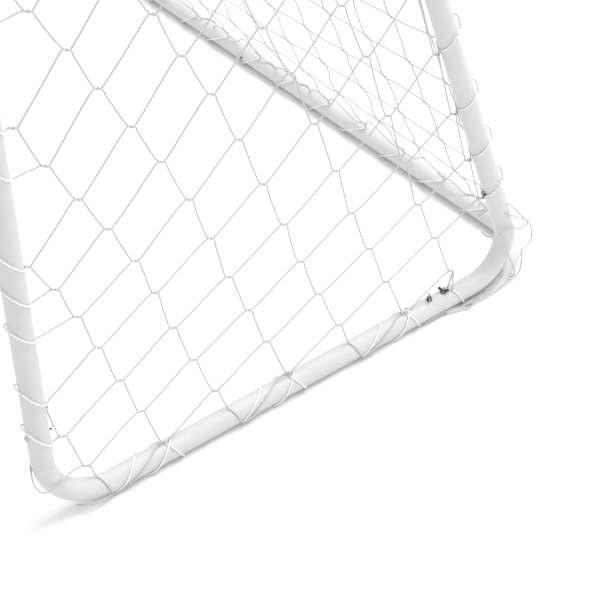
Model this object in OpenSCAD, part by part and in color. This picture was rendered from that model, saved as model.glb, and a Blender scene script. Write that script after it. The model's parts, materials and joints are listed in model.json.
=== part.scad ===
// Soccer goal frame: round steel tubes that plug together, with a twine net.
// Millimetres, +Z up. The mouth faces -Y. The origin is on the ground, under the middle of the goal.

/* [Goal] */
// Outside width, over the two side frames
goal_w = 3660; // [3000:10:4400]
// Height to the top of the crossbar
goal_h = 1830; // [1700:10:2000]
// From the posts' axis to the rear bar's axis, front to back
goal_d = 1093; // [1000:1:1250]
// Lean of the rear legs from upright, in degrees
leg_lean = 20; // [16:1:22]
// Height of the top stays' axis below the top of the crossbar
stay_drop = 190; // [180:5:230]

/* [Tube] */
// Outside diameter of every tube
tube_d = 38; // [36:1:42]
// Wall thickness of every tube
tube_wall = 1.3; // [1.2:0.1:2]
// Bend radius to the axis of the big bends
bend_r = 120; // [110:5:140]
// Bend radius to the axis of the bends at the legs' ends
leg_bend_r = 80; // [70:2:90]
// How far the rear bar lies behind the corner where base bar and leg would meet
rear_offset = 63; // [60:1:70]

/* [Joints] */
// Length of the reduced end that plugs into the next tube
spigot_len = 55; // [45:1:70]
// Gap between a reduced end and the tube round it, on the radius
spigot_gap = 0.2; // [0.1:0.05:0.4]
// Height of the seam between a base tube and its post
post_seam_z = 212; // [200:1:260]
// Distance along the leg from the rear corner to the seam
leg_seam = 236; // [210:1:280]
// Distance from a seam to its cross bolt
bolt_from_seam = 11; // [9:1:20]
// Distance from a side frame to the joint with the middle tubes
middle_joint = 922; // [800:1:1100]

/* [Clamps] */
// Thickness of a pressed tube end, two walls together
press_t = 3; // [2.6:0.2:4]
// Width of a pressed tube end
press_w = 60; // [54:1:62]
// Distance of the rearmost clamp bolt from the rear corner
clamp_a_y = 183; // [178:1:190]
// Distance of the other clamp bolt from the rear corner
clamp_b_y = 218; // [210:1:230]
// Distance between the two bolts of a top stay
stay_pitch = 30; // [26:1:34]

/* [Fasteners] */
// Thread diameter of every bolt
bolt_d = 5; // [5:1:5]
// Free thread above a tight wing nut, which is how far it unscrews
nut_travel = 4.8; // [4:0.8:5.6]
// Span of a wing nut over its wings
wing_span = 22; // [20:1:24]

/* [Net] */
// Diameter of the net's twine
twine_d = 3; // [2:0.5:4]
// Drop of the net's upper rear fold at mid-width
net_sag = 130; // [60:10:200]

/* [Hidden] */
SIDES = ["right", "left"];
CLAMPS = ["rear_a", "rear_b", "top_a", "top_b"];

$fn = 64;
steel_white = "#eceeee";
zinc = "#8d9093";
twine_white = "#f6f6f4";
tiny = 0.01;
slice_t = 0.2;
// How far a pressed end's first slice overlaps the tube, on the radius and along it
grip = 0.6;
grip_len = 1.5;
// How far a backing ring reaches to either side of the bore
backing = 0.3;

// Tube
tube_r = tube_d / 2;
bore_r = tube_r - tube_wall;
spigot_r = bore_r - spigot_gap;
// The twine loops under the bars hold them off the ground
loop_gap = 0.2;
bar_z = tube_r + twine_d + loop_gap;

// Places in a side frame: x inwards from its plane, y forwards from the rear corner
side_x = goal_w / 2 - tube_r;
post_y = goal_d - rear_offset;
corner_world_y = goal_d / 2 - rear_offset;
crossbar_z = goal_h - tube_r;
stay_z = goal_h - stay_drop;
rear_turn = 90 + leg_lean;
rear_cut = leg_bend_r * tan(rear_turn / 2);
top_turn = 90 - leg_lean;
top_cut = leg_bend_r * tan(top_turn / 2);
leg_len = (stay_z - bar_z) / cos(leg_lean);
stay_corner_y = (stay_z - bar_z) * tan(leg_lean);
top_seam = leg_len - 220;
corner_seam_z = 1350;
clamp_y = [clamp_a_y, clamp_b_y];

// Pressed ends: where the tube starts to flatten, and its oval and flat sections
press_turn = 70;
press_slit = 0.3;
stay_oval_x = 6.5;
stay_oval_h = 22;
oval_y = 50;
oval_w = 52;
oval_h = 16;
flat_y = 95;
flat_end_y = 150;
saddle_y = 188;
saddle_end_y = 240;
saddle_top = 10;
stay_flat_y = post_y - 24;
stay_flat_end = post_y + 17;
stay_oval_y = stay_flat_y - 38;
stay_round_y = stay_flat_y - 78;

// Fasteners
bolt_r = bolt_d / 2;
thread_gap = 0.05;
hole_r = bolt_r + 0.2;
seat_gap = 0.1;
head_r = 4.7;
head_h = 3.2;
csk_r = 5;
hex_flats = 8;
hex_h = 4;
bolt_proud = 3;
washer_r = 6;
washer_h = 1;
hub_r = 4.6;
hub_h = 5.5;
wing_t = 2;
wing_rise = 9;
stack_h = washer_h + hub_h + nut_travel;
// Angles of the wings at rest, rear_a, rear_b, top_a and top_b
wing_turn = [29, 142, 70, 15];

// Net
net_inset = 30;
net_foot = 48;
strip_count = 8;
strip_cols = 4;
strip_gap = 1;
loop_r = tube_r + loop_gap + twine_d / 2;
// Places of the twine loops under the base tubes and the rear bar
side_loops = [400, 650, 880];
rear_loops = [-1500:600:1500];
// Cut corners of the side net's outline, at the stay and at the leg's foot
head_cut = 40;
foot_cut = 50;
// Sags at mid-width: the fold forwards, the back outwards and the roof down
fold_forward = 25;
back_bulge = 18;
roof_sag = 25;
// Gaps from the fold's line to the stays, and from the back panel to the fold
fold_gap = 12;
hem_gap = 14;
edge_gap = 10;
// How far the back net's foot stays in front of the rear bar's axis
foot_gap = 28;

// ---------- tube pieces, drawn from the origin along +Z and bent towards +X ----------
module ring2d(r = tube_r, b = bore_r) {
    difference() {
        circle(r);
        circle(b);
    }
}

module straight(len) {
    linear_extrude(len) ring2d();
}

module bend(r, turn) {
    translate([r, 0, 0])
        rotate([90, 0, 180])
            rotate_extrude(angle = turn)
                translate([r, 0])
                    ring2d();
}

// Children drawn from the end of a bend
module bend_end(r, turn) {
    translate([r * (1 - cos(turn)), 0, r * sin(turn)])
        rotate([0, turn, 0])
            children();
}

// The same, with a backing ring in the bore that joins the children to the bend
module past_bend(r, turn) {
    bend_end(r, turn) {
        children();
        linear_extrude(2, center = true)
            ring2d(bore_r + backing, bore_r - backing);
    }
}

// A reduced end that runs back from the origin, inside the next tube
module spigot() {
    translate([0, 0, -spigot_len])
        linear_extrude(spigot_len)
            ring2d(spigot_r, spigot_r - tube_wall);
    // Shoulder that closes the step between the two diameters
    linear_extrude(tube_wall)
        ring2d(tube_r - tiny, spigot_r - tube_wall);
}

// A cross hole, through both walls, on the X axis
module cross_hole(z) {
    translate([-tube_d, 0, z])
        rotate([0, 90, 0])
            cylinder(r = hole_r, h = 2 * tube_d);
}

// Thin slice of an oval section, for a hull
module slice(w, h) {
    r = h / 2;
    for (x = [-1, 1])
        translate([x * (w / 2 - r), 0, 0])
            cylinder(r = r, h = slice_t, $fn = 32);
}

// Round slice that takes in the last of a tube, so that a pressed end grips it all round
module grip_slice(inner) {
    r = inner ? bore_r - grip : tube_r + grip;
    translate([0, 0, inner ? -2 * grip_len : -grip_len])
        cylinder(r = r, h = (inner ? 2 : 1) * grip_len + slice_t, $fn = 32);
}

// ---------- placing ----------
module on_side(s) {
    mirror([s == "left" ? 1 : 0, 0, 0])
        translate([side_x, corner_world_y, 0])
            rotate([0, 0, 180])
                children();
}

// Along the leg, at a distance from the rear corner
module on_leg(along) {
    translate([0, along * sin(leg_lean), bar_z + along * cos(leg_lean)])
        rotate([-leg_lean, 0, 0])
            rotate([0, 0, 90])
                children();
}

// Where the base tube starts, at the post's seam, heading down
module from_post_seam() {
    translate([0, post_y, post_seam_z])
        rotate([180, 0, -90])
            children();
}

// Where a rear corner tube starts, at the middle joint, heading outwards
module from_middle_joint() {
    translate([middle_joint, -rear_offset, bar_z])
        rotate([-90, 0, 90])
            children();
}

// ---------- tubes of a side frame ----------
module base_tube() {
    down = post_seam_z - bar_z - bend_r;
    along = post_y - bend_r - rear_cut;
    color(steel_white)
        difference() {
            from_post_seam() {
                straight(down);
                translate([0, 0, down]) {
                    bend(bend_r, 90);
                    past_bend(bend_r, 90) {
                        straight(along);
                        translate([0, 0, along]) {
                            bend(leg_bend_r, rear_turn);
                            past_bend(leg_bend_r, rear_turn)
                                straight(leg_seam - rear_cut);
                        }
                    }
                }
            }
            from_post_seam() cross_hole(bolt_from_seam);
            on_leg(leg_seam) cross_hole(-bolt_from_seam);
            for (y = clamp_y)
                translate([0, y, 0])
                    cylinder(r = hole_r, h = 2 * tube_d);
        }
}

module post() {
    color(steel_white)
        translate([0, post_y, post_seam_z])
            rotate([0, 0, 90])
                difference() {
                    union() {
                        straight(corner_seam_z - post_seam_z);
                        spigot();
                    }
                    cross_hole(-bolt_from_seam);
                    cross_hole(corner_seam_z - post_seam_z - bolt_from_seam);
                }
}

module corner_tube() {
    up = crossbar_z - bend_r - corner_seam_z;
    color(steel_white)
        translate([0, post_y, corner_seam_z])
            difference() {
                union() {
                    straight(up);
                    spigot();
                    translate([0, 0, up]) {
                        bend(bend_r, 90);
                        past_bend(bend_r, 90) straight(middle_joint - bend_r);
                    }
                }
                rotate([0, 0, 90]) cross_hole(-bolt_from_seam);
                translate([middle_joint - bolt_from_seam, 0, crossbar_z - corner_seam_z])
                    rotate([90, 0, 0])
                        cylinder(r = hole_r, h = 2 * tube_d, center = true);
                for (z = [-1, 1]) cross_hole(stay_z - corner_seam_z + z * stay_pitch / 2);
            }
}

module leg() {
    color(steel_white)
        on_leg(leg_seam)
            difference() {
                union() {
                    straight(top_seam - leg_seam);
                    spigot();
                }
                cross_hole(-bolt_from_seam);
                cross_hole(top_seam - leg_seam - bolt_from_seam);
            }
}

// Flattening tube end: round, then oval, then flat, as one shell
module stay_press(inner = false) {
    cut = inner ? tube_wall : 0;
    hull() {
        translate([0, stay_round_y, stay_z])
            rotate([-90, 0, 0])
                grip_slice(inner);
        stay_oval(cut);
    }
    hull() {
        stay_oval(cut);
        stay_flat(inner ? press_slit : press_t, cut);
    }
}

module stay_oval(cut) {
    translate([stay_oval_x, stay_oval_y, stay_z])
        rotate([-90, 90, 0])
            slice(oval_w - 2 * cut, stay_oval_h - 2 * cut);
}

module stay_flat(thick, cut) {
    width = press_w - 2 * cut;
    translate([tube_r + seat_gap + (press_t - thick) / 2, stay_flat_y, stay_z - width / 2])
        cube([thick, slice_t, width]);
}

module top_stay() {
    rise = leg_len - top_cut - top_seam;
    run = stay_round_y - stay_corner_y - top_cut;
    plate = stay_flat_end - stay_flat_y;
    corner = 12;
    color(steel_white)
        difference() {
            union() {
                on_leg(top_seam) {
                    straight(rise);
                    spigot();
                    translate([0, 0, rise]) {
                        bend(leg_bend_r, top_turn);
                        past_bend(leg_bend_r, top_turn) straight(run);
                    }
                }
                difference() {
                    stay_press();
                    stay_press(inner = true);
                }
                translate([tube_r + seat_gap, 0, stay_z])
                    rotate([90, 0, 90])
                        linear_extrude(press_t)
                            translate([stay_flat_y, -press_w / 2])
                                rounded_end(plate, press_w, corner);
            }
            on_leg(top_seam) cross_hole(-bolt_from_seam);
            for (z = [-1, 1])
                translate([0, post_y, stay_z + z * stay_pitch / 2])
                    rotate([0, 90, 0])
                        cylinder(r = hole_r, h = 2 * tube_d);
        }
}

// Plate outline from x = 0, with its two far corners rounded
module rounded_end(len, w, r) {
    square([len - r, w]);
    translate([0, r]) square([len, w - 2 * r]);
    for (y = [r, w - r])
        translate([len - r, y])
            circle(r);
}

// ---------- rear corner tube, pressed flat under the base tube ----------
module rear_press(inner = false) {
    cut = inner ? tube_wall : 0;
    hull() {
        from_middle_joint()
            translate([0, 0, middle_joint - bend_r])
                bend_end(bend_r, press_turn)
                    grip_slice(inner);
        rear_oval(cut);
    }
    hull() {
        rear_oval(cut);
        rear_flat(inner ? press_slit : press_t, cut);
    }
}

module rear_oval(cut) {
    translate([0, oval_y, oval_h / 2 + 1])
        rotate([-90, 0, 0])
            slice(oval_w - 2 * cut, oval_h - 2 * cut);
}

module rear_flat(thick, cut) {
    width = press_w - 2 * cut;
    translate([-width / 2, flat_y, (press_t - thick) / 2])
        cube([width, slice_t, thick]);
}

// From the flat to the saddle that hugs the base tube
module saddle_neck() {
    difference() {
        hull() {
            translate([-press_w / 2, flat_end_y, 0]) cube([press_w, slice_t, press_t]);
            translate([-tube_r - 1, saddle_y, 0]) cube([2 * tube_r + 2, slice_t, saddle_top]);
        }
        base_clear();
        // Round the outer corners towards the tube's underside
        neck_trim();
    }
}

module neck_trim() {
    for (x = [-1, 1])
        translate([x * (press_w / 2 + 4), saddle_y + 2, -1])
            cylinder(r = 16, h = saddle_top + 2);
}

module base_clear() {
    translate([0, 0, bar_z])
        rotate([-90, 0, 0])
            cylinder(r = tube_r + loop_gap, h = post_y / 2);
}

module saddle() {
    translate([0, saddle_y, bar_z])
        rotate([-90, 0, 0])
            linear_extrude(saddle_end_y - saddle_y)
                intersection() {
                    ring2d(bar_z, tube_r + loop_gap);
                    translate([-tube_d, bar_z - saddle_top]) square([2 * tube_d, saddle_top + 1]);
                }
}

module rear_corner() {
    color(steel_white)
        difference() {
            union() {
                from_middle_joint() {
                    straight(middle_joint - bend_r);
                    spigot();
                    translate([0, 0, middle_joint - bend_r]) bend(bend_r, press_turn);
                }
                difference() {
                    rear_press();
                    rear_press(inner = true);
                }
                translate([-press_w / 2, flat_y, 0])
                    cube([press_w, flat_end_y - flat_y + slice_t / 2, press_t]);
                saddle_neck();
                saddle();
            }
            from_middle_joint() cross_hole(-bolt_from_seam);
            for (y = clamp_y)
                translate([0, y, -tiny]) {
                    cylinder(r = hole_r, h = saddle_top);
                    cylinder(r1 = csk_r + 0.2, r2 = hole_r, h = csk_r - bolt_r);
                }
        }
}

// ---------- middle tubes ----------
module middle_tube(y, z) {
    len = 2 * (side_x - middle_joint);
    color(steel_white)
        translate([-len / 2, y, z])
            rotate([0, 90, 0])
                difference() {
                    straight(len);
                    for (end = [bolt_from_seam, len - bolt_from_seam])
                        rotate([0, 0, 90]) cross_hole(end);
                }
}

// ---------- fasteners, drawn along +X from the tube's axis ----------
module joint_bolt() {
    reach = tube_r + seat_gap;
    rotate([0, 90, 0]) {
        translate([0, 0, -reach]) cylinder(r = bolt_r, h = 2 * reach + hex_h + bolt_proud);
        translate([0, 0, -reach - head_h]) cylinder(r1 = head_r - 1.2, r2 = head_r, h = head_h);
    }
}

module joint_nut() {
    translate([tube_r + seat_gap, 0, 0])
        rotate([0, 90, 0])
            difference() {
                cylinder(r = hex_flats / 2 / cos(30), h = hex_h, $fn = 6);
                translate([0, 0, -1]) cylinder(r = bolt_r + thread_gap, h = hex_h + 2);
            }
}

// Every tube joint of one side, with its children along +X towards the nut
module at_joints() {
    translate([0, post_y, post_seam_z - bolt_from_seam]) rotate([0, 0, -90]) children();
    translate([0, post_y, corner_seam_z - bolt_from_seam]) rotate([0, 0, -90]) children();
    on_leg(leg_seam - bolt_from_seam) children();
    on_leg(top_seam - bolt_from_seam) children();
    translate([middle_joint + bolt_from_seam, -rear_offset, bar_z]) rotate([0, 0, 90]) children();
    translate([middle_joint + bolt_from_seam, post_y, crossbar_z]) rotate([0, 0, -90]) children();
}

// Clamp positions, with +Z out of the tube and z = 0 on the washer's seat
module at_clamp(c) {
    if (c == "rear_a") rear_clamp(clamp_y[0]) children();
    if (c == "rear_b") rear_clamp(clamp_y[1]) children();
    if (c == "top_a") stay_clamp(stay_pitch / 2) children();
    if (c == "top_b") stay_clamp(-stay_pitch / 2) children();
}

module rear_clamp(y) {
    translate([0, y, bar_z + tube_r + seat_gap]) children();
}

module stay_clamp(dz) {
    translate([tube_r + press_t + 2 * seat_gap, post_y, stay_z + dz])
        rotate([0, 90, 0])
            children();
}

module clamp_bolt() {
    foot = -(bar_z + tube_r + seat_gap);
    translate([0, 0, foot]) {
        cylinder(r = bolt_r, h = stack_h - foot);
        cylinder(r1 = csk_r, r2 = bolt_r, h = csk_r - bolt_r);
    }
}

module stay_bolt() {
    foot = -(2 * tube_r + press_t + 3 * seat_gap);
    translate([0, 0, foot]) {
        cylinder(r = bolt_r, h = stack_h - foot);
        translate([0, 0, -head_h]) cylinder(r1 = head_r - 1.2, r2 = head_r, h = head_h);
    }
}

module washer() {
    color(zinc)
        difference() {
            cylinder(r = washer_r, h = washer_h - seat_gap);
            translate([0, 0, -1]) cylinder(r = hole_r, h = washer_h + 2);
        }
}

module wing_nut(turn) {
    tip_r = 3;
    color(zinc)
        translate([0, 0, washer_h])
            rotate([0, 0, turn])
                difference() {
                    union() {
                        cylinder(r1 = hub_r, r2 = hub_r - 0.6, h = hub_h);
                        wing(tip_r);
                        mirror([1, 0, 0]) wing(tip_r);
                    }
                    translate([0, 0, -1]) cylinder(r = bolt_r + thread_gap, h = wing_rise + 4);
                }
}

// One wing: a plate that leans out of the hub to a round tip
module wing(tip_r) {
    tip_x = wing_span / 2 - tip_r;
    rotate([90, 0, 0])
        linear_extrude(wing_t, center = true) {
            polygon([[bolt_r + 0.8, 0.8], [hub_r + 0.6, 0.8], [tip_x + 2.6, wing_rise - tip_r - 1.5],
                     [tip_x - 2.6, wing_rise - tip_r + 1.5], [bolt_r + 0.8, hub_h - 0.4]]);
            translate([tip_x, wing_rise - tip_r]) circle(tip_r);
        }
}

// ---------- net ----------
function arc_points(c, r, from, to, steps) =
    [for (i = [0:steps]) let (a = from + (to - from) * i / steps) [c[0] + r * cos(a), c[1] + r * sin(a)]];

// Outline of the side net in the (y, z) plane, inside the tubes
function side_outline() =
    let (front = post_y - net_inset,
         low = bar_z + net_foot,
         high = stay_z - net_inset,
         lean_gap = net_inset / cos(leg_lean),
         foot_y = (low - bar_z) * tan(leg_lean) + lean_gap,
         head_y = (high - bar_z) * tan(leg_lean) + lean_gap)
    let (r = bend_r - head_cut, slope = tan(leg_lean))
    concat(arc_points([front - r, low + r], r, -90, 0, 6),
           [[front, high], [head_y + head_cut, high], [head_y - head_cut * slope, high - head_cut],
            [foot_y + foot_cut * slope, low + foot_cut], [foot_y + foot_cut, low]]);

module side_net() {
    color(twine_white) {
        translate([-twine_d / 2, 0, 0])
            rotate([90, 0, 90])
                linear_extrude(twine_d)
                    polygon(side_outline());
        for (y = side_loops)
            translate([0, y, bar_z])
                rotate([90, 0, 0])
                    twine_loop();
    }
}

module twine_loop() {
    rotate_extrude() translate([loop_r, 0]) circle(twine_d / 2, $fn = 24);
}

// Closed sheet over a grid of points, given as one list of rows, with its own thickness along dir
function grid_faces(rows, cols, n) =
    let (at = function (i, j) i * cols + j)
    concat(
        [for (i = [0:rows - 2]) for (j = [0:cols - 2]) each
            [[at(i, j), at(i, j + 1), at(i + 1, j + 1)], [at(i, j), at(i + 1, j + 1), at(i + 1, j)]]],
        [for (i = [0:rows - 2]) for (j = [0:cols - 2]) each
            [[n + at(i, j), n + at(i + 1, j + 1), n + at(i, j + 1)],
             [n + at(i, j), n + at(i + 1, j), n + at(i + 1, j + 1)]]],
        [for (j = [0:cols - 2]) each
            [[at(0, j), n + at(0, j), n + at(0, j + 1)], [at(0, j), n + at(0, j + 1), at(0, j + 1)]]],
        [for (j = [0:cols - 2]) let (i = rows - 1) each
            [[at(i, j), n + at(i, j + 1), n + at(i, j)], [at(i, j), at(i, j + 1), n + at(i, j + 1)]]],
        [for (i = [0:rows - 2]) each
            [[at(i, 0), n + at(i + 1, 0), n + at(i, 0)], [at(i, 0), at(i + 1, 0), n + at(i + 1, 0)]]],
        [for (i = [0:rows - 2]) let (j = cols - 1) each
            [[at(i, j), n + at(i, j), n + at(i + 1, j)], [at(i, j), n + at(i + 1, j), at(i + 1, j)]]]);

module sheet(rows, cols, point, dir) {
    base = [for (i = [0:rows - 1]) for (j = [0:cols - 1]) point(i / (rows - 1), j / (cols - 1))];
    color(twine_white)
        polyhedron(concat(base, [for (p = base) p + twine_d * dir]),
                   grid_faces(rows, cols, rows * cols), convexity = 4);
}

// Fall of the net away from the side frames, 0 at a side and 1 at mid-width
function belly(u) = 1 - pow(abs(2 * u - 1), 2.4);

// Height of the crossbar's axis over the distance x from the side frame, with its bend
function crossbar_axis(x) =
    x >= bend_r ? crossbar_z : crossbar_z - bend_r + sqrt(pow(bend_r, 2) - pow(bend_r - max(x, 0), 2));

net_half = side_x - net_inset;
fold_y = corner_world_y - stay_corner_y - edge_gap;
fold_z = stay_z - fold_gap;

function fold_point(u) =
    [net_half * (2 * u - 1), fold_y + fold_forward * belly(u), fold_z - net_sag * belly(u)];

// v runs from the rear bar up to the fold
function back_point(u, v) =
    let (top = fold_point(u),
         foot_y = corner_world_y - edge_gap + (rear_offset - foot_gap) * min(1, 8 * belly(u)),
         low = [top[0], foot_y, bar_z + net_foot])
    low + (top - [0, 0, hem_gap] - low) * v + [0, back_bulge * belly(u) * sin(180 * v), 0];

// v runs from the fold forwards to the crossbar
function roof_point(u, v) =
    let (rear = fold_point(u),
         gap = side_x - abs(rear[0]),
         front_z = max(stay_z, crossbar_axis(gap) - tube_r - fold_gap),
         front = [rear[0], -goal_d / 2 + net_inset, front_z])
    rear + (front - rear) * v - [0, 0, roof_sag * belly(u) * sin(180 * v)];

// A panel in side-by-side strips a hair apart, each of them nearly flat
module strips(rows, point, dir) {
    share = 1 / strip_count;
    gap = strip_gap / (2 * net_half);
    for (k = [0:strip_count - 1])
        sheet(rows, strip_cols, function (v, u) point((k + u) * share - gap * (u - 0.5), v), dir);
}

module back_net() {
    strips(9, function (u, v) back_point(u, v), [0, cos(leg_lean), sin(leg_lean)]);
    color(twine_white)
        for (x = rear_loops)
            translate([x, goal_d / 2, bar_z])
                rotate([0, 90, 0])
                    twine_loop();
}

module roof_net() {
    strips(5, function (u, v) roof_point(u, v), [0, 0, -1]);
}

// ---------- nodes ----------
for (s = SIDES) {
    on_side(s) base_tube();
    on_side(s) post();
    on_side(s) corner_tube();
    on_side(s) leg();
    on_side(s) top_stay();
    on_side(s) rear_corner();
    on_side(s) side_net();
    for (i = [0:3]) {
        c = CLAMPS[i];
        on_side(s) at_clamp(c) washer();
        on_side(s) at_clamp(c) wing_nut(wing_turn[i]);
    }
}
middle_tube(-goal_d / 2, crossbar_z);  // crossbar_middle
middle_tube(goal_d / 2, bar_z);  // rear_bar_middle
color(zinc) for (s = SIDES) on_side(s) at_joints() joint_bolt();  // joint_bolts
color(zinc) for (s = SIDES) on_side(s) at_joints() joint_nut();  // joint_nuts
color(zinc) for (s = SIDES) for (i = [0, 1]) on_side(s) at_clamp(CLAMPS[i]) clamp_bolt();  // clamp_bolts
color(zinc) for (s = SIDES) for (i = [2, 3]) on_side(s) at_clamp(CLAMPS[i]) stay_bolt();  // stay_bolts
back_net();  // net_back
roof_net();  // net_roof
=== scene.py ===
"""Soccer goal frame: white powder-coated tubes that plug together, wing-nut clamps and a twine net."""

import json
import math
import random

import bpy
import numpy as np
from mathutils import Matrix, Vector


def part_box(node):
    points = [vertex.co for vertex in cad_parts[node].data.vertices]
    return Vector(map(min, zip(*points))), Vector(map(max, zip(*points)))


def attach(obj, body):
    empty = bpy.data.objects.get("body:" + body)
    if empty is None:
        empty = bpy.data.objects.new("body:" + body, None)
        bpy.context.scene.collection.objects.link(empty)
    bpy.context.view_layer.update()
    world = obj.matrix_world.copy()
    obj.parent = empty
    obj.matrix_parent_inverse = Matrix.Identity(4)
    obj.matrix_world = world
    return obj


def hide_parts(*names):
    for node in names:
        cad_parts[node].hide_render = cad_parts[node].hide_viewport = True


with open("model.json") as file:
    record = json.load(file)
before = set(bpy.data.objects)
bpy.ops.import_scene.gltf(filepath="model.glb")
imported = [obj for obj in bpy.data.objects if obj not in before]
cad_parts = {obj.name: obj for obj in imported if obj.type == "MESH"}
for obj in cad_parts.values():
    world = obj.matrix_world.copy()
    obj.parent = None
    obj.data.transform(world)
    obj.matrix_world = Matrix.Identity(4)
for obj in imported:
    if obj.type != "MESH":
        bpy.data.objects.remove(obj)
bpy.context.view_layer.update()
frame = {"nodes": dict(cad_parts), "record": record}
nodes = frame["nodes"]
SIDES = ("right", "left")


# ---------- the frame's own measures ----------
def middle(node, axis):
    low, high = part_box(node)
    return (low[axis] + high[axis]) / 2


bar_low, bar_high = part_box("rear_bar_middle")
TUBE_R = (bar_high.z - bar_low.z) / 2
BAR_Z = middle("rear_bar_middle", 2)
REAR_Y = middle("rear_bar_middle", 1)
FRONT_Y = middle("crossbar_middle", 1)
TOP_Z = middle("crossbar_middle", 2)
SIDE_X = middle("post_right", 0)
PRESS_W = 0.060
STAY_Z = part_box("top_stay_right")[1].z - PRESS_W / 2
REAR_OFFSET = 0.063
CORNER_Y = REAR_Y - REAR_OFFSET
POST_Y = CORNER_Y - FRONT_Y
LEAN = math.radians(20)
BEND_R = 0.120
LEG_BEND_R = 0.080
HEAD_Y = (STAY_Z - BAR_Z) * math.tan(LEAN)


# ---------- camera: over the outside of the right rear corner ----------
LENS = 95.95
ROLL = math.radians(-0.95)


def make_camera():
    data = bpy.data.cameras.new("camera")
    camera = bpy.data.objects.new("camera", data)
    bpy.context.scene.collection.objects.link(camera)
    data.sensor_width = 36
    data.lens = LENS
    data.clip_end = 50
    spot = Vector((SIDE_X + 1.641, CORNER_Y - 1.785, 1.919))
    target = Vector((SIDE_X, CORNER_Y - 0.5175, 0.198))
    turn = (target - spot).to_track_quat("-Z", "Y").to_matrix().to_4x4()
    roll = Matrix.Rotation(ROLL, 4, "Z")
    camera.matrix_world = Matrix.Translation(spot) @ turn @ roll
    bpy.context.scene.camera = camera


make_camera()


# ---------- materials ----------
def new_material(name):
    mat = bpy.data.materials.new(name)
    mat.use_nodes = True
    tree = mat.node_tree
    tree.nodes.clear()
    out = tree.nodes.new("ShaderNodeOutputMaterial")
    shader = tree.nodes.new("ShaderNodeBsdfPrincipled")
    tree.links.new(shader.outputs["BSDF"], out.inputs["Surface"])
    return mat, tree, shader


def noise(tree, scale, detail=4, rough=0.5):
    place = tree.nodes.new("ShaderNodeTexCoord")
    tex = tree.nodes.new("ShaderNodeTexNoise")
    tex.inputs["Scale"].default_value = scale
    tex.inputs["Detail"].default_value = detail
    tex.inputs["Roughness"].default_value = rough
    tree.links.new(place.outputs["Object"], tex.inputs["Vector"])
    return tex.outputs["Fac"]


def ramp(tree, source, stops):
    node = tree.nodes.new("ShaderNodeValToRGB")
    tree.links.new(source, node.inputs["Fac"])
    while len(node.color_ramp.elements) < len(stops):
        node.color_ramp.elements.new(0.5)
    for element, (at, value) in zip(node.color_ramp.elements, stops):
        element.position = at
        element.color = (*value, 1) if isinstance(value, tuple) else (value, value, value, 1)
    return node.outputs["Color"]


def bump(tree, shader, height, distance, strength=1.0):
    node = tree.nodes.new("ShaderNodeBump")
    node.inputs["Strength"].default_value = strength
    node.inputs["Distance"].default_value = distance
    tree.links.new(height, node.inputs["Height"])
    tree.links.new(node.outputs["Normal"], shader.inputs["Normal"])


def powder_coat():
    mat, tree, shader = new_material("white_powder_coat")
    tone = ramp(tree, noise(tree, 9, 6, 0.6), [(0.3, (0.60, 0.60, 0.60)), (0.7, (0.64, 0.64, 0.64))])
    tree.links.new(tone, shader.inputs["Base Color"])
    gloss = ramp(tree, noise(tree, 60), [(0.3, 0.44), (0.7, 0.56)])
    tree.links.new(gloss, shader.inputs["Roughness"])
    bump(tree, shader, noise(tree, 900, 2), 0.0002, 0.35)
    shader.inputs["Coat Weight"].default_value = 0.10
    shader.inputs["Coat Roughness"].default_value = 0.3
    return mat


def zinc(name, painted_reflection_tones, rough):
    mat, tree, shader = new_material(name)
    grain = ramp(tree, noise(tree, 420, 6, 0.65), [(0.3, 0.75), (0.7, 1.0)])
    # Painted reflection: the metal is bright where it faces the camera and dark towards its rims; of the
    # two tones the first is the rims', the second the faces'.
    painted_reflection_rim = tree.nodes.new("ShaderNodeLayerWeight")
    painted_reflection_rim.inputs["Blend"].default_value = 0.5
    tone = ramp(tree, painted_reflection_rim.outputs["Facing"], [(0.05, painted_reflection_tones[1]), (0.30, painted_reflection_tones[0])])
    mix = tree.nodes.new("ShaderNodeMix")
    mix.data_type = "RGBA"
    mix.blend_type = "MULTIPLY"
    mix.inputs["Factor"].default_value = 1.0
    tree.links.new(tone, mix.inputs["A"])
    tree.links.new(grain, mix.inputs["B"])
    tree.links.new(mix.outputs["Result"], shader.inputs["Base Color"])
    gloss = ramp(tree, noise(tree, 900), [(0.25, rough), (0.75, rough + 0.2)])
    tree.links.new(gloss, shader.inputs["Roughness"])
    bump(tree, shader, noise(tree, 2500, 3), 0.0001, 0.5)
    shader.inputs["Metallic"].default_value = 1.0
    return mat


def twine(name, dark, light):
    """Twisted polyethylene: u runs round the twine and v along it, one turn of the lay per unit, with
    painted shade in the grooves between the strands.
    """
    mat, tree, shader = new_material(name)
    place = tree.nodes.new("ShaderNodeUVMap")
    place.uv_map = "twine"
    wave = tree.nodes.new("ShaderNodeTexWave")
    wave.wave_type = "BANDS"
    wave.bands_direction = "DIAGONAL"
    wave.inputs["Scale"].default_value = 1.0
    wave.inputs["Distortion"].default_value = 1.5
    wave.inputs["Detail"].default_value = 3.0
    wave.inputs["Detail Scale"].default_value = 6.0
    tree.links.new(place.outputs["UV"], wave.inputs["Vector"])
    # Painted shade in the lay: the tone is dark where the bump below sinks into the grooves between
    # strands and light on their crowns.
    tone = ramp(tree, wave.outputs["Fac"], [(0.0, dark), (0.55, light)])
    tree.links.new(tone, shader.inputs["Base Color"])
    bump(tree, shader, wave.outputs["Fac"], 0.0006, 0.9)
    shader.inputs["Roughness"].default_value = 0.7
    shader.inputs["Sheen Weight"].default_value = 0.3
    shader.inputs["Sheen Roughness"].default_value = 0.5
    return mat


COAT = powder_coat()
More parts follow.
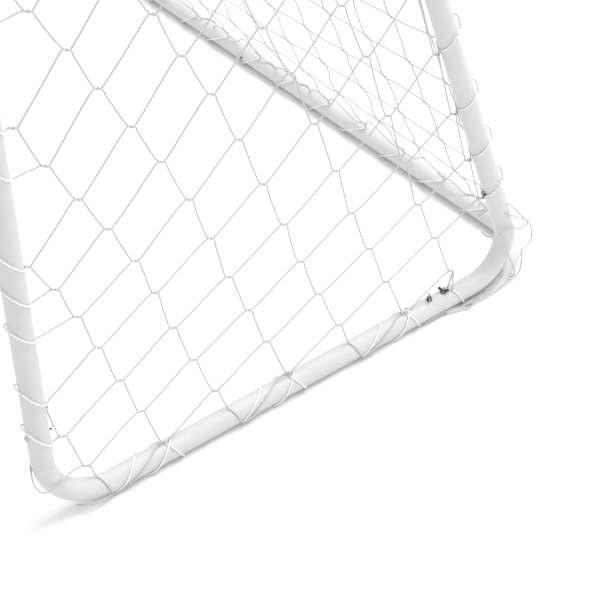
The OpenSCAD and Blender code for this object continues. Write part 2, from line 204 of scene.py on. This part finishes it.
# Both zinc finishes carry painted reflections, dark at the rims and bright on the faces, the nuts' finish
# with the deeper dark.
ZINC = zinc("zinc_steel", ((0.50, 0.50, 0.51), (0.74, 0.74, 0.75)), 0.30)
ZINC_PAINTED_DARK_RIM = zinc("dark_zinc", ((0.04, 0.04, 0.04), (0.62, 0.62, 0.62)), 0.18)
# One white twine in two copies: the net's is toned down as painted shade on thin twine in the open, and
# the lashings' is lighter as painted light where the twine lies lit on the tubes.
TWINE = twine("net_twine", 0.47, 0.60)
PAINTED_LIGHT_TWINE = twine("lashing_twine_painted_light", 0.76, 0.92)

FINISHES = {"white_steel": COAT, "zinc_steel": ZINC, "dark_zinc": ZINC_PAINTED_DARK_RIM, "net_twine": TWINE}


def dress_cad_nodes():
    """The record's slots, except that the hexagon nuts take the wing nuts' finish, with its deeper
    painted dark reflections round the rims.
    """
    for part in frame["record"]["subparts"]:
        finish = "dark_zinc" if part["node"] == "joint_nuts" else part["material_slot"]
        for holder in nodes[part["node"]].material_slots:
            holder.material = FINISHES[finish]


dress_cad_nodes()


# ---------- meshes ----------
def mesh_object(name, points, faces, material, smooth=True):
    mesh = bpy.data.meshes.new(name)
    mesh.from_pydata([tuple(p) for p in points], [], faces)
    mesh.materials.append(material)
    mesh.polygons.foreach_set("use_smooth", [smooth] * len(mesh.polygons))
    mesh.update()
    obj = bpy.data.objects.new(name, mesh)
    bpy.context.scene.collection.objects.link(obj)
    return obj


# ---------- tubes that twine can be wound round ----------
TWINE_R = 0.0015
HUG_R = BAR_Z - TWINE_R


def unit(v):
    return v / np.linalg.norm(v, axis=-1, keepdims=True)


def rounded_loop(corners, radii, step=0.004):
    """Closed outline through corners, counter-clockwise, with each corner rounded to its radius."""
    corners = [np.array(c, float) for c in corners]
    points = []
    for k, here in enumerate(corners):
        a = unit(corners[k - 1] - here)
        b = unit(corners[(k + 1) % len(corners)] - here)
        half = math.acos(float(a @ b)) / 2
        start = here + a * radii[k] / math.tan(half)
        centre = here + unit(a + b) * radii[k] / math.sin(half)
        sweep = math.pi - 2 * half
        count = max(2, round(sweep * radii[k] / step))
        spoke = start - centre
        for m in range(count + 1):
            turn = sweep * m / count
            c, s = math.cos(turn), math.sin(turn)
            turned = [c * spoke[0] - s * spoke[1], s * spoke[0] + c * spoke[1]]
            points.append(centre + np.array(turned))
    outline = []
    for k, here in enumerate(points):
        after = points[(k + 1) % len(points)]
        count = max(1, round(float(np.linalg.norm(after - here)) / step))
        outline += [here + (after - here) * m / count for m in range(count)]
    return np.array(outline)


class Rail:
    """The tubes round a net panel: a closed outline in its flat measure, and their axis in space."""

    def __init__(self, flat, axis, inward, outward):
        self.flat, self.axis, self.inward, self.outward = flat, axis, unit(inward), unit(outward)
        steps = np.linalg.norm(np.roll(flat, -1, 0) - flat, axis=1)
        self.s = np.concatenate([[0], np.cumsum(steps)[:-1]])
        self.length = float(steps.sum())
        self.tangent = unit(np.roll(flat, -1, 0) - np.roll(flat, 1, 0))
        self.normal = np.stack([-self.tangent[:, 1], self.tangent[:, 0]], 1)

    def nearest(self, points):
        """Distance along the rail, and inwards from its axis, of flat points."""
        gap = points[:, None, :] - self.flat[None]
        k = (gap ** 2).sum(2).argmin(1)
        gap = gap[np.arange(len(points)), k]
        return self.s[k] + (gap * self.tangent[k]).sum(1), (gap * self.normal[k]).sum(1)

    def at(self, values, s):
        return np.stack([np.interp(s, self.s, values[:, c], period=self.length) for c in range(3)], -1)

    def around(self, s, angle, lift=0.0):
        """Points on twine wound round the tube: angle 0 faces into the panel, a quarter turn outwards."""
        s, angle = np.atleast_1d(s), np.atleast_1d(angle)
        reach = (HUG_R + np.atleast_1d(lift))[:, None]
        spoke = np.cos(angle)[:, None] * unit(self.at(self.inward, s))
        spoke = spoke + np.sin(angle)[:, None] * unit(self.at(self.outward, s))
        return self.at(self.axis, s) + reach * spoke


NUTS = [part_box(f"wing_nut_rear_{c}_{side}") for c in "ab" for side in SIDES]
NUT_REACH = 0.018
NUT_TRAVEL = 0.0048


def over_nuts(points):
    """Lifts twine that would cross a wing nut to just above where the nut can rise."""
    for low, high in NUTS:
        gap = np.hypot(points[:, 0] - (low.x + high.x) / 2, points[:, 1] - (low.y + high.y) / 2)
        clear = high.z + NUT_TRAVEL + 2.5 * TWINE_R
        points[:, 2] = np.where(gap < NUT_REACH, np.maximum(points[:, 2], clear), points[:, 2])
    return points


LAST_ANGLE = math.radians(150)
EASE = 0.05
NEAREST = {"base": HUG_R - HUG_R * LAST_ANGLE, "post": HUG_R * 0.5}
NEAREST_ELSEWHERE = HUG_R * 1.1
JITTER = 0.003
DRIFT = 0.012
LEG_LOOP = (2.3, 3.8)
LEG_SLACK = 0.003
TUBE_SLACK = 0.0005

# Twine round a tube, as marks of angle and shift along the tube: once round for each kind of tube,
# and on the base tube also twice round from a joint that lacks one neighbour.
WINDS = {
    "post": [(0.1, 0), (1.3, 0.014), (2.6, 0.042), (3.4, 0.050), (4.7, 0.030), (6.0, 0)],
    "leg": [(0.1, 0), (2.2, -0.026), (2.9, -0.040), (3.5, -0.034), (4.6, -0.012), (6.0, 0)],
    "stay": [(0.2, 0), (1.6, -0.020), (3.1, -0.040), (4.7, -0.020), (6.0, 0)],
    "rear": [(-0.1, 0), (-2.3, -0.075), (-4.0, -0.055), (-5.4, -0.012), (-6.1, 0)],
    "cross": [(0.2, 0), (1.6, 0.020), (3.1, 0.045), (4.7, 0.025), (6.0, 0)],
    "base": [(0.3, 0), (3.1, -0.035), (6.0, 0)],
    "base_twice": [(0.2, 0), (3.1, -0.035), (6.3, -0.012), (9.4, 0.050), (12.3, 0)],
}


def span(start, end):
    """A straight free stretch of twine."""
    return np.stack([start, (2 * start + end) / 3, (start + 2 * end) / 3, end])


class Panel:
    """One net: a lattice of joints in a flat measure, and the place of any flat point in space."""

    def __init__(self, rail, place, normal, node, joint, first, bow, kind, seed):
        self.rail, self.place, self.normal, self.kind = rail, place, normal, kind
        self.node, self.joint, self.bow = node, np.array(joint), bow
        self.rng = random.Random(seed)
        self.paths, self.wraps = [], []
        self.fill(first)

    def fill(self, first):
        """Every joint that can be reached from the first one without leaving the tubes."""
        self.nodes, queue = {}, [first]
        while queue:
            key = queue.pop()
            if key in self.nodes:
                continue
            flat = np.array(self.node(*key), float)
            s, d = (v[0] for v in self.rail.nearest(flat[None]))
            kind = self.kind(flat)
            if d < NEAREST.get(kind, NEAREST_ELSEWHERE):
                continue
            if d > 3 * HUG_R:
                flat = flat + [self.rng.uniform(-JITTER, JITTER), self.rng.uniform(-JITTER, JITTER)]
            self.nodes[key] = (flat, float(s), float(d), kind)
            queue += [(key[0] + a, key[1] + b) for a, b in ((1, 0), (-1, 0), (0, 1), (0, -1))]

    def spot(self, flat):
        """Flat points in space: on the net's surface, and past a tube's edge round its outer face."""
        s, d = self.rail.nearest(flat)
        free = self.place(flat)
        root = self.rail.around(s, np.zeros(len(s)), d - HUG_R)
        share = np.clip((d - HUG_R) / EASE, 0, 1)[:, None]
        open_spot = root + (free - root) * share
        wound = self.rail.around(s, np.clip((HUG_R - d) / HUG_R, 0, None))
        return over_nuts(np.where((d >= HUG_R)[:, None], open_spot, wound))

    def ends(self, key):
        flat = self.nodes[key][0]
        return flat - self.joint / 2, flat + self.joint / 2

    def knot(self, key, phase):
        """One of the two strands through a joint, twisted half a turn round the other."""
        left, right = self.spot(np.stack(self.ends(key)))
        along = unit(right - left)
        out = self.normal(self.nodes[key][0])
        side = unit(np.cross(along, out))
        out = np.cross(side, along)
        points = []
        for m in range(5):
            turn = phase + math.pi * (m - 2) / 4 * 1.5
            hub = left + (right - left) * m / 4
            points.append(hub + TWINE_R * 0.95 * (math.cos(turn) * side + math.sin(turn) * out))
        return points

    def slack(self, d, kind):
        """How much looser than in the open the twine hangs, at distance d from a tube."""
        return 9 * math.exp(-d / 0.08) if kind == "rear" else 0.0

    def bar(self, a, b):
        """Twine from a's right end to b's left end, with a slight bow."""
        start, end = self.ends(a)[1], self.ends(b)[0]
        near = min(self.nodes[a][2], self.nodes[b][2]) < HUG_R + 0.02
        count = 12 if near else 6
        t = np.linspace(0, 1, count + 2)[1:-1, None]
        run = end - start
        across = np.array([-run[1], run[0]])
        loose = 1 + self.slack(min(self.nodes[a][2], self.nodes[b][2]), self.nodes[a][3])
        size = self.bow * loose * (0.35 + 0.65 * self.rng.random())
        size *= 1 if self.rng.random() < 0.8 else -1
        curl = self.bow * (loose - 1) * self.rng.uniform(-1, 1)
        aside = size * np.sin(math.pi * t) + curl * np.sin(2 * math.pi * t)
        flat = start + run * t + across * aside
        points = self.spot(flat)
        drift = self.rng.uniform(-1, 1) * DRIFT * np.linalg.norm(run)
        out = self.normal(flat[len(flat) // 2])
        return list(points + out * np.sin(math.pi * t) * (0 if near else drift))

    def strands(self):
        """Long strands through the joints, one family down the net and one across it."""
        for step, phase in (((1, 0), 0.0), ((0, 1), math.pi)):
            for key in sorted(self.nodes):
                if (key[0] - step[0], key[1] - step[1]) in self.nodes:
                    continue
                path = self.knot(key, phase)
                after = (key[0] + step[0], key[1] + step[1])
                while after in self.nodes:
                    path += self.bar(key, after)
                    path += self.knot(after, phase)
                    key, after = after, (after[0] + step[0], after[1] + step[1])
                self.paths.append(np.array(path))

    def missing(self, key):
        """Which ends of a joint, 0 left and 1 right, lack a neighbour."""
        steps = (((1, 0), 1), ((0, 1), 1), ((-1, 0), 0), ((0, -1), 0))
        return [end for step, end in steps if (key[0] + step[0], key[1] + step[1]) not in self.nodes]

    def lashings(self):
        """Where a joint has no neighbour past the tube, its twine winds round the tube and comes back."""
        for key in sorted(self.nodes):
            gone = self.missing(key)
            if not gone:
                continue
            flat, s, d, kind = self.nodes[key]
            if kind == "bend":
                continue
            ends = self.spot(np.stack(self.ends(key)))
            start, end = ends[gone[0]], ends[gone[-1]]
            wound = max(0.0, (HUG_R - d) / HUG_R)
            slack = 0.001 + 0.002 * self.rng.random()
            if kind == "inner":
                mid = self.rail.around(s, 0.0, 0.0005)
                self.paths.append(np.concatenate([start[None], mid, end[None] + 0.001]))
            elif kind != "base":
                slack += LEG_SLACK if kind == "leg" else TUBE_SLACK
                back = end if d < 0.035 or gone[0] != gone[-1] else None
                self.wind(start, back, s, WINDS[kind], slack, LEG_LOOP if kind == "leg" else None)
            elif wound > 1.0:
                far_side = [(0, -0.055), (-1.4, -0.075), (-3.2, -0.050)]
                turns = [(wound, 0), *far_side, (wound - 2 * math.pi, 0)]
                self.wind(start, end, s, turns, slack)
            else:
                self.wind(start, end, s, WINDS["base" if len(gone) > 1 else "base_twice"], slack)

    def wind(self, start, end, s, turns, slack, loop=None):
        """Twine round a tube by way of marks; between the loop's two angles, where the loop stands off
        the tube, it is the net's own twine with its painted shade, elsewhere the lashing twine with its
        painted light.
        """
        angles, shifts = (np.array(v, float) for v in zip(*turns))
        marks = np.concatenate([[0], np.cumsum(np.abs(np.diff(angles)))])
        t = np.linspace(0, marks[-1], max(10, int(marks[-1] / 0.22)))
        angle = np.interp(t, marks, angles)
        shift = np.interp(t, marks, shifts) * (0.85 + 0.3 * self.rng.random())
        lift = slack * np.sin(math.pi * t / marks[-1]) ** 2 * (0.5 - 0.5 * np.cos(angle))
        points = self.rail.around(s + shift, angle, lift)
        self.paths.append(span(start, points[0]))
        if loop is not None:
            first, last = (int(np.argmax(angle > v)) for v in loop)
            self.paths.append(points[first - 1:last + 1])
            self.wraps += [points[:first], points[last:]]
        else:
            self.wraps.append(points)
        if end is not None:
            self.paths.append(span(points[-1], end))


def soften(path):
    """Rounds a path's turns by cutting its corners once."""
    a, b = path[:-1], path[1:]
    cut = np.empty((2 * len(a), 3))
    cut[0::2] = a * 0.75 + b * 0.25
    cut[1::2] = a * 0.25 + b * 0.75
    return np.concatenate([path[:1], cut, path[-1:]])


RING = 6
LAY = 0.009


def sweep(paths):
    """Round twine along each path: points, quads, and u and v for each corner of each quad."""
    points, faces, uvs = [], [], []
    base = 0
    for raw in paths:
        path = soften(raw)
        path[:, 2] = np.maximum(path[:, 2], TWINE_R)
        keep = np.concatenate([[True], np.linalg.norm(np.diff(path, axis=0), axis=1) > 1e-5])
        path = path[keep]
        along = unit(np.gradient(path, axis=0))
        side = np.empty_like(path)
        first = np.cross(along[0], (0.3, 0.5, 0.81))
        side[0] = unit(first)
        for k in range(1, len(path)):
            side[k] = unit(side[k - 1] - along[k] * (side[k - 1] @ along[k]))
        other = np.cross(along, side)
        length = np.concatenate([[0], np.cumsum(np.linalg.norm(np.diff(path, axis=0), axis=1))]) / LAY
        turn = np.arange(RING) * 2 * math.pi / RING
        ring = np.cos(turn)[None, :, None] * side[:, None] + np.sin(turn)[None, :, None] * other[:, None]
        points.append((path[:, None] + TWINE_R * ring).reshape(-1, 3))
        count = len(path)
        for k in range(count - 1):
            low, high = base + k * RING, base + (k + 1) * RING
            for m in range(RING):
                n = (m + 1) % RING
                faces.append((low + m, low + n, high + n, high + m))
                u, w = m / RING, (m + 1) / RING
                uvs += [(u, length[k]), (w, length[k]), (w, length[k + 1]), (u, length[k + 1])]
        faces.append(tuple(base + m for m in reversed(range(RING))))
        faces.append(tuple(base + (count - 1) * RING + m for m in range(RING)))
        uvs += [(0, 0)] * (2 * RING)
        base += count * RING
    return np.concatenate(points), faces, uvs


def net_object(name, paths, material, mirror=False):
    points, faces, uvs = sweep(paths)
    if mirror:
        points = points * np.array([-1, 1, 1])
        faces = [tuple(reversed(f)) for f in faces]
        flipped, at = [], 0
        for f in faces:
            flipped += list(reversed(uvs[at:at + len(f)]))
            at += len(f)
        uvs = flipped
    obj = mesh_object(name, points, faces, material)
    layer = obj.data.uv_layers.new(name="twine")
    layer.data.foreach_set("uv", np.array(uvs, np.float32).ravel())
    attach(obj, "frame")
    return obj


# ---------- side nets ----------
def side_world(flat):
    flat = np.atleast_2d(flat)
    return np.stack([np.full(len(flat), SIDE_X), CORNER_Y - flat[:, 0], flat[:, 1]], 1)


def side_rail():
    """Base tube, post, top stay and leg, in y forwards from the rear corner and z."""
    corners = [(0, BAR_Z), (POST_Y, BAR_Z), (POST_Y, STAY_Z), (HEAD_Y, STAY_Z)]
    flat = rounded_loop(corners, [LEG_BEND_R, BEND_R, TUBE_R, LEG_BEND_R])
    tangent = unit(np.roll(flat, -1, 0) - np.roll(flat, 1, 0))
    zero = np.zeros(len(flat))
    inward = np.stack([zero, tangent[:, 1], tangent[:, 0]], 1)
    outward = np.tile([1.0, 0, 0], (len(flat), 1))
    return Rail(flat, side_world(flat), inward, outward)


# The side net's joints in millimetres, y forwards and z up: where the first joint is, one step down
# and one step back, how the steps change from row to row, and the pull across the net's middle.
FIRST_JOINT = (703, 417)
STEP_DOWN = (-44.4, -85.3)
STEP_BACK = (-101.6, 63.9)
PULL_WIDTH = 1.5


def side_node(i, j):
    """The side net hangs askew: i steps down and back, j steps back and up."""
    back = math.tanh((i - 1 - j / 2) / PULL_WIDTH)
    down = math.tanh((i + 1 - j / 2) / PULL_WIDTH)
    y = FIRST_JOINT[0] + STEP_DOWN[0] * i + STEP_BACK[0] * j
    y += -2.0 * i * j + 0.2 * j * j + (22 - 0.6 * j) * back
    z = FIRST_JOINT[1] + STEP_DOWN[1] * i + STEP_BACK[1] * j
    z += -1.0 * i * i - 0.1 * i * j - 1.3 * j * j - (8.7 + 17.2 * j) * down
    return y / 1000, z / 1000


def side_normal(flat):
    return np.array([1.0, 0, 0])


def side_kind(flat):
    """Which tube a flat point is nearest to, as far as lashing goes."""
    y, z = flat
    lean = (y - (z - BAR_Z) * math.tan(LEAN)) * math.cos(LEAN)
    gaps = {"base": z - BAR_Z, "post": POST_Y - y, "stay": STAY_Z - z, "leg": lean}
    kind = min(gaps, key=gaps.get)
    near_bend = z < BAR_Z + BEND_R and (y > POST_Y - 0.09 or y < 0.06)
    return "bend" if near_bend else kind


SIDE_JOINT = (-0.0125, -0.0070)
SIDE_BOW = 0.010
side_panel = Panel(
    side_rail(), side_world, side_normal, side_node, SIDE_JOINT, (0, 0), SIDE_BOW, side_kind, 5)


def loose(*marks):
    """Slack twine beside a corner, through places given as y, z and distance outwards."""
    path = np.array([(SIDE_X + out, CORNER_Y - y, z) for y, z, out in marks])
    for _ in range(3):
        path = soften(path)
    side_panel.paths.append(path)


def corner_slack():
    """The slack ends and loops beside the front bend and the rear corner."""
    left = side_panel.ends((2, -3))[0]
    loose(
        (*left, 0.0), (*left, 0.0), (0.985, 0.097, 0.006), (1.012, 0.098, 0.022), (1.034, 0.096, 0.025),
        (1.050, 0.102, 0.026), (1.059, 0.117, 0.020), (1.054, 0.131, 0.004), (1.040, 0.134, -0.022),
        (1.015, 0.130, -0.024))
    loose((0.925, 0.014, 0.020), (0.950, 0.016, 0.024), (0.975, 0.022, 0.022), (0.985, 0.016, 0.006))
    loose(
        (0.085, 0.158, -0.02), (0.057, 0.200, 0.010), (0.040, 0.182, 0.026), (0.024, 0.160, 0.024),
        (0.010, 0.143, 0.026), (-0.003, 0.129, 0.024), (0.008, 0.121, 0.024), (0.024, 0.127, 0.024),
        (0.043, 0.137, 0.024), (0.066, 0.128, 0.020), (0.082, 0.122, 0.004), (0.078, 0.120, -0.014))
    loose(
        (0.062, 0.178, 0.016), (0.040, 0.164, 0.027), (0.022, 0.150, 0.026), (0.004, 0.139, 0.026),
        (-0.010, 0.122, 0.022), (-0.020, 0.095, 0.020), (-0.019, 0.074, 0.020), (0.000, 0.070, 0.022),
        (0.009, 0.066, 0.024), (0.008, 0.044, 0.026), (0.010, 0.020, 0.026), (0.024, 0.010, 0.026),
        (0.040, 0.010, 0.024), (0.060, 0.006, 0.020), (0.095, 0.004, 0.020))
    loose(
        (0.072, 0.130, 0.020), (0.050, 0.088, 0.023), (0.030, 0.046, 0.024), (0.018, 0.016, 0.024),
        (0.022, 0.004, 0.014))
    loose(
        (0.110, 0.006, 0.022), (0.135, 0.003, 0.026), (0.148, 0.006, 0.024), (0.140, 0.010, 0.026),
        (0.128, 0.004, 0.027), (0.140, 0.002, 0.030), (0.152, 0.002, 0.031))


side_panel.strands()
side_panel.lashings()
corner_slack()
for side in SIDES:
    net = net_object(f"twine_net_{side}", side_panel.paths, TWINE, side == "left")
    net_object(f"lashing_{side}", side_panel.wraps, PAINTED_LIGHT_TWINE, side == "left")
    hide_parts(f"net_side_{side}")


# ---------- back and roof net, one piece over the free fold ----------
def lerp(a, b, t):
    return a + (b - a) * t


NET_FOOT = 0.030


def flank():
    """The tubes from the rear corner up the leg and along the stay to the post, as y and z."""
    loop = side_rail().flat
    on_stay = STAY_Z - 1e-4
    keep = []
    for y, z in side_rail().flat:
        on_leg = y < 0.05 + (z - BAR_Z) * math.tan(LEAN)
        if z > BAR_Z + NET_FOOT and (on_leg or z > on_stay) and y < POST_Y - TUBE_R:
            keep.append((y, z))
    keep.sort(key=lambda p: (p[1] if p[1] < on_stay else STAY_Z, p[0]))
    return np.array(keep)


FLANK = flank()
FLANK_S = np.concatenate([[0], np.cumsum(np.linalg.norm(np.diff(FLANK, axis=0), axis=1))])
NET_LEN = float(FLANK_S[-1])
FOLD_Q = float(np.interp(STAY_Z - 0.01, FLANK[:, 1], FLANK_S))
SAG = 0.130
FOLD_REACH = 0.22
FOLD_BACK = 0.015
FOLD_DOWN = 0.012


def flank_point(q):
    y, z = (np.interp(q, FLANK_S, FLANK[:, axis]) for axis in (0, 1))
    return np.stack([CORNER_Y - y, z], -1)


def hang_point(q):
    """Mid-width of the net as y and z: from the rear bar over the sagging fold to the crossbar."""
    bottom, top = np.array([REAR_Y, BAR_Z]), np.array([FRONT_Y, TOP_Z])
    fold = np.array([CORNER_Y - HEAD_Y + FOLD_BACK, STAY_Z - FOLD_DOWN - SAG])
    reach = FOLD_REACH
    q = np.asarray(q, float)[:, None]
    rise = lerp(bottom, fold, q / FOLD_Q)
    run = lerp(fold, top, (q - FOLD_Q) / (NET_LEN - FOLD_Q))
    a = lerp(bottom, fold, 1 - reach / FOLD_Q)
    b = lerp(fold, top, reach / (NET_LEN - FOLD_Q))
    t = np.clip((q - FOLD_Q + reach) / (2 * reach), 0, 1)
    turn = (1 - t) ** 2 * a + 2 * t * (1 - t) * fold + t * t * b
    return np.where(q < FOLD_Q - reach, rise, np.where(q > FOLD_Q + reach, run, turn))


def back_world(flat):
    flat = np.atleast_2d(flat)
    p, q = flat[:, 0], np.clip(flat[:, 1], 0, NET_LEN)
    edge = np.where(q < FOLD_Q, 1 - q / FOLD_Q, (q - FOLD_Q) / (NET_LEN - FOLD_Q))
    fullness = 1 - np.abs(np.clip(p / SIDE_X, -1, 1)) ** (2.4 + 26 * edge ** 2)
    profile = lerp(flank_point(q), hang_point(q), fullness[:, None])
    return np.column_stack([p, profile])


def end_bend(p, level, sign):
    """Offset of a bar's axis from its straight run, over the bends at its ends."""
    over = np.clip(np.abs(p) - (SIDE_X - BEND_R), 0, BEND_R)
    return level + sign * (BEND_R - np.sqrt(BEND_R ** 2 - over ** 2))


def back_rail():
    step = 0.006
    across = np.linspace(-SIDE_X, SIDE_X, int(2 * SIDE_X / step))[:-1]
    up = np.linspace(0, NET_LEN, int(NET_LEN / step))[:-1]
    slope, tilt = math.sin(LEAN), math.cos(LEAN)
    flat, axis, inward, outward = [], [], [], []
    for p in across:
        flat.append((p, 0))
        axis.append((p, float(end_bend(p, REAR_Y, -1)), BAR_Z))
        inward.append((0, -slope, tilt))
        outward.append((0, tilt, slope))
    for q in up:
        y, z = flank_point(q)
        flat.append((SIDE_X, q))
        axis.append((SIDE_X, y, z))
        inward.append((-1, 0, 0))
        outward.append((0, tilt, slope) if q < FOLD_Q else (0, 0, 1))
    for p in across[::-1]:
        flat.append((p, NET_LEN))
        axis.append((p, FRONT_Y, float(end_bend(p, TOP_Z, -1))))
        inward.append((0, tilt, -slope))
        outward.append((0, slope, tilt))
    for q in up[::-1]:
        y, z = flank_point(q)
        flat.append((-SIDE_X, q))
        axis.append((-SIDE_X, y, z))
        inward.append((1, 0, 0))
        outward.append((0, tilt, slope) if q < FOLD_Q else (0, 0, 1))
    return Rail(*(np.array(v, float) for v in (flat, axis, inward, outward)))


MESH = 0.122
FIRST_P = 0.030
FIRST_Q = 0.036
SWAY = 0.055
CLOSE_UP = 0.09
CLOSE_ROWS = 1.3


def back_node(i, j):
    """The back net hangs square: i steps down, j steps to the right, and its lowest rows close up."""
    row = -i
    p = FIRST_P + MESH * j + SWAY * math.exp(-2 * abs(row))
    if row < 0:
        return p, FIRST_Q + MESH * row
    return p, FIRST_Q + MESH * row - CLOSE_UP * (1 - math.exp(-row / CLOSE_ROWS))


def back_kind(flat):
    p, q = flat
    gaps = {"rear": q, "cross": NET_LEN - q, "inner": SIDE_X - abs(p)}
    return min(gaps, key=gaps.get)


def back_normal(flat):
    slope = LEAN if flat[1] < FOLD_Q else math.pi / 2
    return np.array([0, math.cos(slope), math.sin(slope)])


BACK_JOINT = (0.0105, -0.0050)
BACK_BOW = 0.03
back_panel = Panel(
    back_rail(), back_world, back_normal, back_node, BACK_JOINT, (-5, 0), BACK_BOW, back_kind, 11)
back_panel.strands()
back_panel.lashings()
back_net = net_object("twine_net_back", back_panel.paths, TWINE)
net_object("lashing_back", back_panel.wraps, PAINTED_LIGHT_TWINE)
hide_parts("net_back", "net_roof")


# ---------- floor and light ----------
def make_stage():
    size = 30
    corners = [(-size, -size, 0), (size, -size, 0), (size, size, 0), (-size, size, 0)]
    mat, tree, shader = new_material("studio_floor")
    tone = ramp(tree, noise(tree, 0.6), [(0.2, 0.90), (0.8, 0.92)])
    tree.links.new(tone, shader.inputs["Base Color"])
    shader.inputs["Roughness"].default_value = 0.6
    shader.inputs["Specular IOR Level"].default_value = 0.2
    mesh_object("floor", corners, [(0, 1, 2, 3)], mat, smooth=False)


KEY_SPOT = (SIDE_X + 0.6, 2.6, 6.5)
KEY_SIZE = 4.6
KEY_POWER = 350
SKY_STRENGTH = 0.92


def make_light():
    world = bpy.data.worlds.new("studio")
    bpy.context.scene.world = world
    world.use_nodes = True
    sky = world.node_tree.nodes["Background"]
    sky.inputs["Color"].default_value = (1, 1, 1, 1)
    sky.inputs["Strength"].default_value = SKY_STRENGTH
    area("key", KEY_SPOT, (SIDE_X, 0, 0), KEY_SIZE, KEY_POWER)


def area(name, spot, target, size, power):
    data = bpy.data.lights.new(name, "AREA")
    data.size = size
    data.energy = power
    lamp = bpy.data.objects.new(name, data)
    bpy.context.scene.collection.objects.link(lamp)
    lamp.location = spot
    lamp.rotation_euler = (Vector(target) - Vector(spot)).to_track_quat("-Z", "Y").to_euler()


make_stage()
make_light()
bpy.context.scene.view_settings.view_transform = "Standard"
